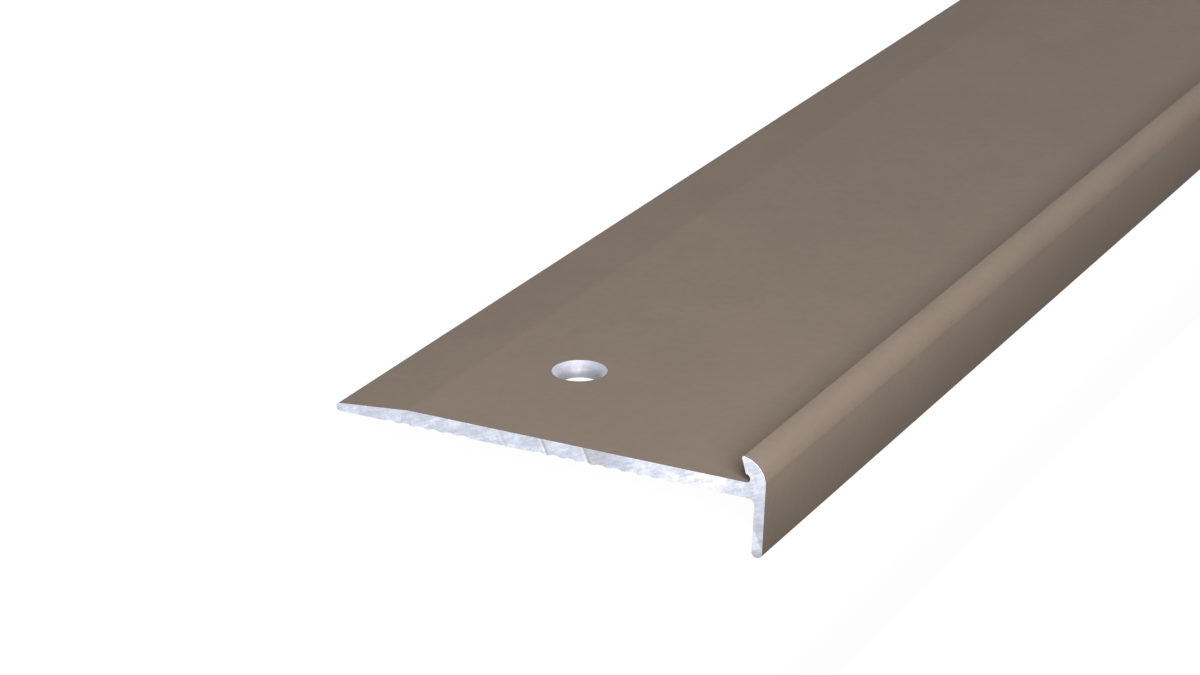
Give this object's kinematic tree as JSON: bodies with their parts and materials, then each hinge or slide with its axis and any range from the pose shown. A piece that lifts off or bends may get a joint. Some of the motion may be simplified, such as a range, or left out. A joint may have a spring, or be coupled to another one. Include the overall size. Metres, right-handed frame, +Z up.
{
  "type": "stair nosing",
  "caption": "Bronze anodised aluminium stair nosing: a flat drilled plate under the floor covering, a rounded crest that closes its edge, and a lip over the step's front.",
  "frame": {"origin": "below the middle of the bar, at the level of the lip's end", "axes": "+X from the back edge to the nose, +Y along the bar, +Z up from the tread"},
  "size_m": [0.06, 1, 0.0129],
  "materials": {
    "bronze_anodised": "satin bronze anodised, bare metal on the cut ends and in the holes"
  },
  "bodies": {
    "root": {"stair_nosing": "bronze_anodised"}
  },
  "joints": []
}
